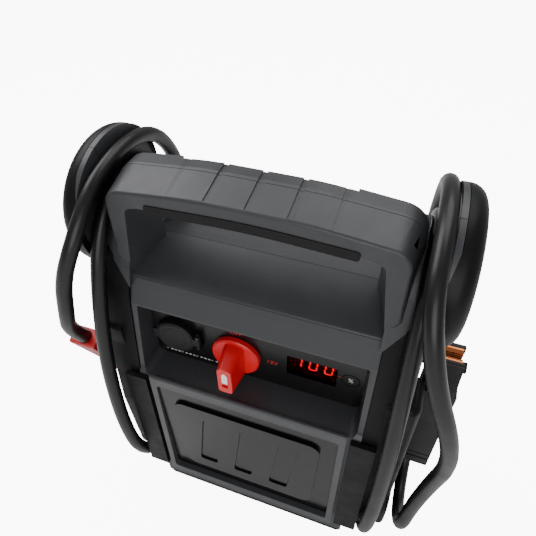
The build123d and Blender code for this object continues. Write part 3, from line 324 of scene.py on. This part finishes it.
@dataclass(frozen=True)
class TintedWindow:
    """Dark red acrylic window: clear enough to show lit digits behind it.

    Attributes:
        name: Common name of the material.
        tint: Colour of the light that gets through, sRGB hex.
        rough: Roughness of its face.
    """

    name: str = "acrylic_window_red"
    tint: str = "B4585C"
    rough: float = 0.08

    def build(self) -> bpy.types.Material:
        """Make the material, once: a glossy skin over a tinted clear body."""
        found = bpy.data.materials.get(self.name)
        if found:
            return found
        material = bpy.data.materials.new(self.name)
        material.use_nodes = True
        tree = material.node_tree
        tree.nodes.clear()
        place = add_node(tree, "TexCoord").outputs["Object"]
        haze = add_node(tree, "TexNoise", Vector=place, Scale=300.0, Detail=2.0)
        bump = add_node(tree, "Bump", Height=haze.outputs["Fac"], Strength=0.1, Distance=0.00001)
        shader = add_node(tree, "BsdfPrincipled", Normal=bump.outputs[0])
        shader.inputs["Base Color"].default_value = linear(self.tint)
        shader.inputs["Roughness"].default_value = self.rough
        shader.inputs["Transmission Weight"].default_value = 1.0
        shader.inputs["IOR"].default_value = 1.05
        add_node(tree, "OutputMaterial", Surface=shader.outputs[0])
        return material


CAD_FINISHES: dict[str, Finish | TintedWindow] = {
    "grey_shell": CASE_GREY, "handle_grip": GRIP_RUBBER, "frame_grey": FRAME_GREY,
    "badge_black": BADGE_GLOSS, "side_black": COVER_BLACK, "hook_black": HOOK_BLACK,
    "panel_black": PANEL_BLACK, "display_window": TintedWindow(), "display_case": DISPLAY_CASE,
    "circuit_board": BOARD_GREEN, "knob_red": KNOB_RED, "marker_white": MARK_WHITE, "steel": ZINC_STEEL,
    "switch_case": INNER_BLACK, "socket_black": SOCKET_BLACK, "contact_brass": BRASS,
    "cap_black": CAP_RUBBER, "battery_case": BATTERY_CASE, "battery_lead": LEAD_METAL,
    "base_black": COVER_BLACK, "foot_rubber": FOOT_RUBBER, "sounder_black": INNER_BLACK,
    "fuse_body": FUSE_AMBER, "inlet_black": INNER_BLACK, "flap_black": CAP_RUBBER, "clamp_red": CLAMP_RED,
    "clamp_black": CLAMP_BLACK, "jaw_copper": COPPER, "lead_black": GLAND_RUBBER,
}


# ---------------------------------------------------------------- helpers
def dress(obj: bpy.types.Object, finish: Finish | TintedWindow) -> None:
    """Give a piece one finish all over.

    Args:
        obj: The piece.
        finish: Its finish.
    """
    obj.data.materials.clear()
    obj.data.materials.append(finish.build())


def new_piece(name: str, mesh: bpy.types.Mesh | bmesh.types.BMesh, finish: Finish, body: str,
              smooth: bool = True) -> bpy.types.Object:
    """Link a mesh as a finished piece that rides on a body.

    Args:
        name: The piece's name.
        mesh: A mesh, or a bmesh that is freed here.
        finish: Its material.
        body: The CAD body that it moves with.
        smooth: Whether faces are shaded smooth.

    Returns:
        The new object.
    """
    if isinstance(mesh, bmesh.types.BMesh):
        data = bpy.data.meshes.new(name)
        bmesh.ops.recalc_face_normals(mesh, faces=mesh.faces)
        for face in mesh.faces:
            face.smooth = smooth
        mesh.to_mesh(data)
        mesh.free()
        mesh = data
    obj = bpy.data.objects.new(name, mesh)
    bpy.context.scene.collection.objects.link(obj)
    dress(obj, finish)
    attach(obj, body)
    LOG.info("%s rides on %s", name, body)
    return obj


def middle(node: str) -> Vector:
    """The middle of a CAD node's box.

    Args:
        node: The node's name.

    Returns:
        Its middle, in metres.
    """
    low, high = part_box(node)
    return (Vector(low) + Vector(high)) / 2


def dress_cad() -> None:
    """Give every CAD node the finish of its material slot."""
    slots = {part["node"]: part["material_slot"] for part in frame["record"]["subparts"]}
    for name, obj in frame["nodes"].items():
        dress(obj, CAD_FINISHES[slots[name]])
        LOG.info("%s dressed as %s", name, slots[name])


# ---------------------------------------------------------------- control panel
@dataclass
class ControlPanel:
    """Printing, lit digits and trim on the black control panel.

    Attributes:
        ink: Thickness of printed ink and of a lit segment.
        digit_high: Height of a digit.
        digit_wide: Width of a digit.
        digit_pitch: Step from digit to digit.
        first_digit: X of the first digit's middle.
        digit_z: Height of the digits' middle.
        stroke: Width of a segment.
        slant: Lean of the digits, sideways per unit of height.
        shown: The digits, from left to right.
        segments: Which segments each digit lights.
        letter: Letter size of the red words.
        percent: Letter size of the unit.
        off_at: X and Z of the switch's upper mark.
        volts_at: X and Z of the switch's right mark.
        percent_at: X and Z of the unit.
        ring: Radius of the ring round the unit.
        ring_sides: Steps round the ring.
        rule_start: X where the dashed rule starts.
        rule_z: Its height.
        rule_step: Step from dash to dash.
        rule_high: Height of a dash.
        rule_dashes: How many dashes it has.
        rims: Radius and thickness of each ring on the socket's cap.
        rim_steps: Steps round those rings.
    """

    ink: float = 0.15 * MM
    digit_high: float = 12.4 * MM
    digit_wide: float = 7.4 * MM
    digit_pitch: float = 12.7 * MM
    first_digit: float = 36.9 * MM
    digit_z: float = 237.9 * MM
    stroke: float = 1.5 * MM
    slant: float = 0.1
    shown: tuple[str, ...] = ("1", "0", "0")
    segments: dict[str, str] = field(default_factory=lambda: {"1": "bc", "0": "abcdef"})
    letter: float = 6.2 * MM
    percent: float = 6.4 * MM
    off_at: tuple[float, float] = (-14.5 * MM, 256.6 * MM)
    volts_at: tuple[float, float] = (16.0 * MM, 231.3 * MM)
    percent_at: tuple[float, float] = (80.4 * MM, 236.9 * MM)
    ring: float = 7.2 * MM
    ring_sides: int = 64
    rule_start: float = -83.0 * MM
    rule_z: float = 208.8 * MM
    rule_step: float = 3.6 * MM
    rule_high: float = 1.5 * MM
    rule_dashes: int = 14
    rims: tuple[tuple[float, float], ...] = ((15.6 * MM, 0.7 * MM), (11.0 * MM, 0.4 * MM))
    rim_steps: int = 72

    @property
    def face(self) -> float:
        """Y of the panel's front face."""
        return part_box("panel_plate")[0][1]

    def build(self) -> None:
        """Make everything on the panel."""
        self.build_digits()
        self.build_lettering()
        self.build_percent_ring()
        self.build_cap_rim()
        self.build_rule()

    def _bar(self, shape: bmesh.types.BMesh, x: float, z: float, wide: float, high: float, y: float) -> None:
        """Add one pointed segment bar to a mesh.

        Args:
            shape: The mesh to add it to.
            x: Its middle, sideways.
            z: Its middle height.
            wide: Its size along X.
            high: Its size along Z.
            y: Its middle depth.
        """
        made = bmesh.ops.create_cube(shape, size=1.0)["verts"]
        bmesh.ops.scale(shape, vec=(wide, self.ink, high), verts=made)
        bmesh.ops.translate(shape, vec=(x, y, z), verts=made)
        edges = {edge for vert in made for edge in vert.link_edges
                 if abs(edge.verts[0].co.y - edge.verts[1].co.y) > self.ink / 2}
        bmesh.ops.bevel(shape, geom=list(edges), offset=min(wide, high) * 0.42, offset_type="OFFSET",
                        affect="EDGES",
                        segments=1, profile=0.5, material=-1)

    def _segment_places(self) -> dict[str, tuple[float, float, float, float]]:
        """Each segment's middle and size, from the middle of its digit."""
        gap = 0.35 * MM
        half = (self.digit_wide - self.stroke) / 2
        rise = (self.digit_high - self.stroke) / 2
        wide = self.digit_wide - self.stroke - gap
        high = rise - gap
        return {"a": (0, rise, wide, self.stroke), "g": (0, 0, wide, self.stroke),
                "d": (0, -rise, wide, self.stroke),
                "b": (half, rise / 2, self.stroke, high), "c": (half, -rise / 2, self.stroke, high),
                "f": (-half, rise / 2, self.stroke, high), "e": (-half, -rise / 2, self.stroke, high)}

    def build_digits(self) -> None:
        """Make the lit and the dark segments of the three digits, just in front of the display's face."""
        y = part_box("display_module")[0][1] - self.ink
        lit, dark = bmesh.new(), bmesh.new()
        for place, digit in enumerate(self.shown):
            centre = self.first_digit + place * self.digit_pitch
            for name, (dx, dz, wide, high) in self._segment_places().items():
                target = lit if name in self.segments[digit] else dark
                self._bar(target, centre + dx + dz * self.slant, self.digit_z + dz, wide, high, y)
        new_piece("display_lit_segments", lit, DIGIT_LIT, "housing", smooth=False)
        new_piece("display_dark_segments", dark, DIGIT_DARK, "housing", smooth=False)

    def _lettering(self, name: str, words: str, size: float, x: float, z: float, finish: Finish) -> None:
        """Print a short word on the panel.

        Args:
            name: The piece's name.
            words: The letters.
            size: Letter size.
            x: Middle of the word, sideways.
            z: Middle height.
            finish: The ink.
        """
        curve = bpy.data.curves.new(name, "FONT")
        curve.body = words
        curve.size = size
        curve.align_x, curve.align_y = "CENTER", "CENTER"
        curve.extrude = self.ink / 2
        curve.resolution_u = 3
        holder = bpy.data.objects.new(name, curve)
        mesh = bpy.data.meshes.new_from_object(holder)
        bpy.data.objects.remove(holder)
        bpy.data.curves.remove(curve)
        upright = Matrix.Rotation(QUARTER, 4, "X")
        mesh.transform(Matrix.Translation((x, self.face - self.ink / 2, z)) @ upright)
        new_piece(name, mesh, finish, "housing")

    def build_lettering(self) -> None:
        """Print the switch's two positions and the display's unit."""
        self._lettering("print_off", "OFF", self.letter, *self.off_at, PRINT_RED)
        self._lettering("print_12v", "12V", self.letter, *self.volts_at, PRINT_RED)
        self._lettering("print_percent", "%", self.percent, *self.percent_at, PRINT_WHITE)

    def build_percent_ring(self) -> None:
        """Print the ring round the unit, and the line that leads to it from the display."""
        x, z = self.percent_at
        centre = Vector((x, self.face - self.ink / 2, z))
        ring = bmesh.new()
        made = bmesh.ops.create_circle(ring, segments=6, radius=self.ink / 2)["verts"]
        bmesh.ops.scale(ring, vec=(4.0, 1.0, 1.0), verts=made)
        bmesh.ops.rotate(ring, matrix=Matrix.Rotation(QUARTER, 3, "X"), verts=made)
        bmesh.ops.rotate(ring, matrix=Matrix.Rotation(QUARTER, 3, "Z"), verts=made)
        bmesh.ops.rotate(ring, matrix=Matrix.Rotation(QUARTER, 3, "Z"), verts=made)
        bmesh.ops.translate(ring, vec=centre + Vector((self.ring, 0, 0)), verts=made)
        bmesh.ops.spin(ring, geom=ring.edges[:], cent=centre, axis=(0, 1, 0), angle=FULL,
                       steps=self.ring_sides,
                       use_merge=True)
        bmesh.ops.remove_doubles(ring, verts=ring.verts, dist=WELD)
        self._bar(ring, 71.8 * MM, 238.6 * MM, 3.4 * MM, 0.5 * MM, self.face - self.ink / 2)
        new_piece("print_ring", ring, PRINT_RED, "housing")

    def build_rule(self) -> None:
        """Print a plain dashed white rule where the outlets are described."""
        rule = bmesh.new()
        for place in range(self.rule_dashes):
            wide = (2.6 if place % 4 else 1.3) * MM
            middle_x = self.rule_start + place * self.rule_step + wide / 2
            self._bar(rule, middle_x, self.rule_z, wide, self.rule_high, self.face - self.ink / 2)
        new_piece("print_rule", rule, PRINT_WHITE, "housing", smooth=False)

    def build_cap_rim(self) -> None:
        """Make the socket cap's raised rim and the shallow ring round its middle."""
        low, high = (Vector(corner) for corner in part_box("socket_cap"))
        centre = Vector((-68.0 * MM, low.y + 0.15 * MM, (low.z + high.z) / 2))
        rim = bmesh.new()
        for radius, thick in self.rims:
            made = bmesh.ops.create_circle(rim, segments=10, radius=thick)["verts"]
            bmesh.ops.translate(rim, vec=centre + Vector((radius, 0, 0)), verts=made)
            edges = list({edge for vert in made for edge in vert.link_edges})
            bmesh.ops.spin(rim, geom=edges, cent=centre, axis=(0, 1, 0), angle=FULL,
                           steps=self.rim_steps, use_merge=True)
        bmesh.ops.remove_doubles(rim, verts=rim.verts, dist=WELD)
        new_piece("cap_rim", rim, CAP_RUBBER, "socket_cap")


# ---------------------------------------------------------------- clamps
@dataclass
class ClampSpring:
    """A torsion spring wound round a clamp's hinge pin, in place of its rigid CAD stand-in.

    Attributes:
        colour: Which clamp, red or black.
        wire: Radius of the wire.
        turns: Turns of the coil.
        radius: Radius of the coil's middle line.
        pitch: Step along the pin for each turn.
        leg: Length of the wire's legs up the handles.
        steps: Steps in each turn.
    """

    colour: str
    wire: float = 0.95 * MM
    turns: int = 3
    radius: float = 5.1 * MM
    pitch: float = 2.2 * MM
    leg: float = 12.0 * MM
    steps: int = 24

    def build(self) -> None:
        """Sweep the wire's section round the pin and push out its two legs."""
        pin = middle(f"{self.colour}_clamp_pin")
        up = middle(f"{self.colour}_clamp_spring") - pin
        up.x = 0.0
        up.normalize()
        side = Vector((1, 0, 0)).cross(up)
        start = pin - side * self.radius - Vector((self.pitch * self.turns / 2, 0, 0))
        coil = bmesh.new()
        made = bmesh.ops.create_circle(coil, cap_ends=True, segments=10, radius=self.wire)["verts"]
        turn = up.to_track_quat("Z", "X").to_matrix()
        bmesh.ops.rotate(coil, matrix=turn, verts=made)
        bmesh.ops.translate(coil, vec=start, verts=made)
        cap = coil.faces[:]
        spun = bmesh.ops.spin(coil, geom=cap, cent=pin, axis=(-1, 0, 0), dvec=(self.pitch / self.steps, 0, 0),
                              angle=FULL * self.turns + math.pi, steps=self.steps * self.turns)
        last = [item for item in spun["geom_last"] if isinstance(item, bmesh.types.BMFace)]
        self._leg(coil, last, up)
        self._leg(coil, cap, up)
        bmesh.ops.remove_doubles(coil, verts=coil.verts, dist=WELD)
        name = f"{self.colour}_spring_coil"
        piece = new_piece(name, coil, SPRING_STEEL, "housing")
        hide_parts(f"{self.colour}_clamp_spring")

    def _leg(self, coil: bmesh.types.BMesh, faces: list[bmesh.types.BMFace], way: Vector) -> None:
        """Push an end of the wire straight out.

        Args:
            coil: The spring's mesh.
            faces: The end's face.
            way: The direction to push.
        """
        pushed = bmesh.ops.extrude_face_region(coil, geom=faces)
        verts = [item for item in pushed["geom"] if isinstance(item, bmesh.types.BMVert)]
        bmesh.ops.translate(coil, vec=way * self.leg, verts=verts)
        bmesh.ops.delete(coil, geom=faces, context="FACES_ONLY")


# ---------------------------------------------------------------- leads
Point = tuple[float, float, float]

WRAP: list[Point] = [
    (116, 79, 126), (116, 79, 180), (116.8, 78, 236), (116.8, 75, 290), (116.8, 61, 335), (116.8, 29, 362),
    (116.8, -11, 363), (116.7, -41, 337), (116.9, -59, 291), (118.6, -70.5, 238), (119.7, -77, 182),
    (120, -79, 124), (118, -76, 74), (116.1, -57, 34), (116.4, -20, 15.5), (116.6, 24, 14), (116.8, 66, 23),
    (116.8, 95, 54), (116.8, 104, 104), (116.8, 101, 162), (116.8, 95, 220)]
BLACK_REST: list[Point] = [
    (116.8, 92, 278), (116.8, 84, 330), (116.8, 58, 372), (116.8, 16, 393), (116.7, -28, 390),
    (116.5, -66, 370), (129, -83, 326), (149, -85, 276), (158, -74, 224), (156, -64, 172), (152, -60, 116),
    (150, -60, 64), (149, -37, 32), (149, -2, 24), (149, 29, 41)]
RED_REST: list[Point] = [
    (-116.8, 91, 276), (-116.8, 82, 330), (-116.8, 56, 371), (-116.8, 14, 384), (-116.7, -29, 378),
    (-116.8, -63, 352), (-129, -75, 318), (-137, -77, 280)]
BLACK_END: list[Point] = [(149, 43.09, 74.15), (149, 29.57, 119.79)]
RED_END: list[Point] = [(-149, -71.48, 247.7), (-149, -52.15, 210.41)]


@dataclass
class Lead:
    """One heavy lead, from its gland round the side of the case to its clamp.

    Attributes:
        colour: Which clamp it ends in.
        side: One for the right, minus one for the left.
        rest: The route's points after the turn that both leads share, in mm from the drawing's Y origin.
        end: The route's last two points, outside and inside the clamp's handle.
        length: Its real length.
        diameter: Its diameter.
        shift: From the drawing's Y origin to the frame's, in mm.
    """

    colour: str
    side: int
    rest: list[Point]
    end: list[Point]
    length: float
    diameter: float = 12.0 * MM
    shift: float = -9.75

    def points(self) -> list[Vector]:
        """The route in the frame, in metres."""
        route = [(self.side * x, y, z) for x, y, z in WRAP] + self.rest + self.end
        return [Vector((x, y + self.shift, z)) * MM for x, y, z in route]

    def build(self) -> None:
        points = self.points()
        name = f"{self.colour}_lead_jacket"
        curve = bpy.data.curves.new(name, "CURVE")
        curve.dimensions = "3D"
        spline = curve.splines.new("NURBS")
        spline.points.add(len(points) - 1)
        for control, point in zip(spline.points, points):
            control.co = (*point, 1.0)
        spline.order_u = 3
        spline.use_endpoint_u = True
        spline.resolution_u = 10
        curve.bevel_depth = self.diameter / 2
        curve.bevel_resolution = 6
        curve.use_fill_caps = True
        obj = bpy.data.objects.new(name, curve)
        bpy.context.scene.collection.objects.link(obj)
        obj.data.materials.append(CABLE_RUBBER.build())
        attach(obj, "housing")
        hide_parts(f"{self.colour}_lead")
        LOG.info("%s is %.0f mm long", name, self.length / MM)


# ---------------------------------------------------------------- studio
# Each lamp's name, place, aim, side in metres and power in watts.
LAMPS: list[tuple[str, Point, Point, float, float]] = [
    ("key_softbox", (-0.8, 0.25, 1.3), (0.0, 0.0, 0.3), 0.9, 13.0),
    ("top_softbox", (0.25, 0.75, 1.6), (0.0, 0.0, 0.3), 1.1, 11.0),
    ("front_softbox", (0.4, -1.5, 0.9), (0.0, 0.0, 0.25), 1.2, 16.0)]


@dataclass
class Studio:
    """Pale floor, soft lights and the camera.

    Attributes:
        place: The camera's place.
        right: Its right-hand direction.
        up: Its up direction.
        forward: The way it looks.
        lens: Focal length on a 36 mm sensor.
        shift: Sideways and upwards shift of the view.
        floor_glow: Extra brightness that keeps the floor near white.
        floor_half: Half the floor's width, in metres.
        sky: Strength of the even light from all round.
    """

    place: Point = (0.09231, -0.26687, 0.57008)
    right: Point = (0.944883, 0.32731, -0.00806)
    up: Point = (-0.210761, 0.626898, 0.750053)
    forward: Point = (-0.250552, 0.707013, -0.661329)
    lens: float = 32.92
    shift: tuple[float, float] = (-0.0011, -0.052)
    floor_glow: float = 9.0
    floor_half: float = 14.0
    sky: float = 0.42

    def build(self) -> None:
        """Set up the floor, the world, the lamps and the camera."""
        self.build_floor()
        self.build_world()
        for lamp in LAMPS:
            self.build_lamp(*lamp)
        self.build_camera()

    def build_floor(self) -> None:
        """Lay a wide pale floor under the feet."""
        shape = bmesh.new()
        bmesh.ops.create_grid(shape, x_segments=1, y_segments=1, size=self.floor_half)
        data = bpy.data.meshes.new("studio_floor")
        shape.to_mesh(data)
        shape.free()
        floor = bpy.data.objects.new("studio_floor", data)
        bpy.context.scene.collection.objects.link(floor)
        paint = bpy.data.materials.new("studio_paint_white")
        paint.use_nodes = True
        shader = paint.node_tree.nodes["Principled BSDF"]
        shader.inputs["Base Color"].default_value = linear("FBFBFA")
        shader.inputs["Roughness"].default_value = 0.9
        shader.inputs["Specular IOR Level"].default_value = 0.0
        shader.inputs["Emission Color"].default_value = linear("FFFFFF")
        seen = add_node(paint.node_tree, "LightPath").outputs["Is Camera Ray"]
        glow = add_node(paint.node_tree, "Math", {"operation": "MULTIPLY"}, i0=seen, i1=self.floor_glow)
        paint.node_tree.links.new(glow.outputs[0], shader.inputs["Emission Strength"])
        data.materials.append(paint)

    def build_world(self) -> None:
        """Light the room evenly with a pale sky."""
        world = bpy.data.worlds.new("studio_world")
        world.use_nodes = True
        sky = world.node_tree.nodes["Background"]
        sky.inputs["Color"].default_value = linear("FFFFFF")
        sky.inputs["Strength"].default_value = self.sky
        bpy.context.scene.world = world

    def build_lamp(self, name: str, place: Point, aim: Point, size: float, power: float) -> None:
        """Hang one square soft lamp.

        Args:
            name: The lamp's name.
            place: Where it hangs.
            aim: The point it faces.
            size: Its side.
            power: Its power in watts.
        """
        data = bpy.data.lights.new(name, "AREA")
        data.shape = "SQUARE"
        data.size = size
        data.energy = power
        lamp = bpy.data.objects.new(name, data)
        lamp.location = place
        lamp.rotation_mode = "QUATERNION"
        lamp.rotation_quaternion = (Vector(aim) - Vector(place)).to_track_quat("-Z", "Y")
        bpy.context.scene.collection.objects.link(lamp)

    def build_camera(self) -> None:
        """Set the camera."""
        data = bpy.data.cameras.new("camera")
        data.sensor_width = 36.0
        data.lens = self.lens
        data.shift_x, data.shift_y = self.shift
        data.clip_start, data.clip_end = 0.02, 60.0
        camera = bpy.data.objects.new("camera", data)
        axes = Matrix((self.right, self.up, -Vector(self.forward))).transposed()
        camera.matrix_world = Matrix.Translation(self.place) @ axes.to_4x4()
        bpy.context.scene.collection.objects.link(camera)
        bpy.context.scene.camera = camera


def main() -> None:
    """Build the object's pieces in order, then the studio."""
    logging.basicConfig(level=logging.INFO, format="%(name)s: %(message)s")
    dress_cad()
    ControlPanel().build()
    for colour in ("red", "black"):
        ClampSpring(colour).build()
    Lead("black", 1, BLACK_REST, BLACK_END, 1.767).build()
    Lead("red", -1, RED_REST, RED_END, 1.411).build()
    Studio().build()


if __name__ == "__main__":
    main()
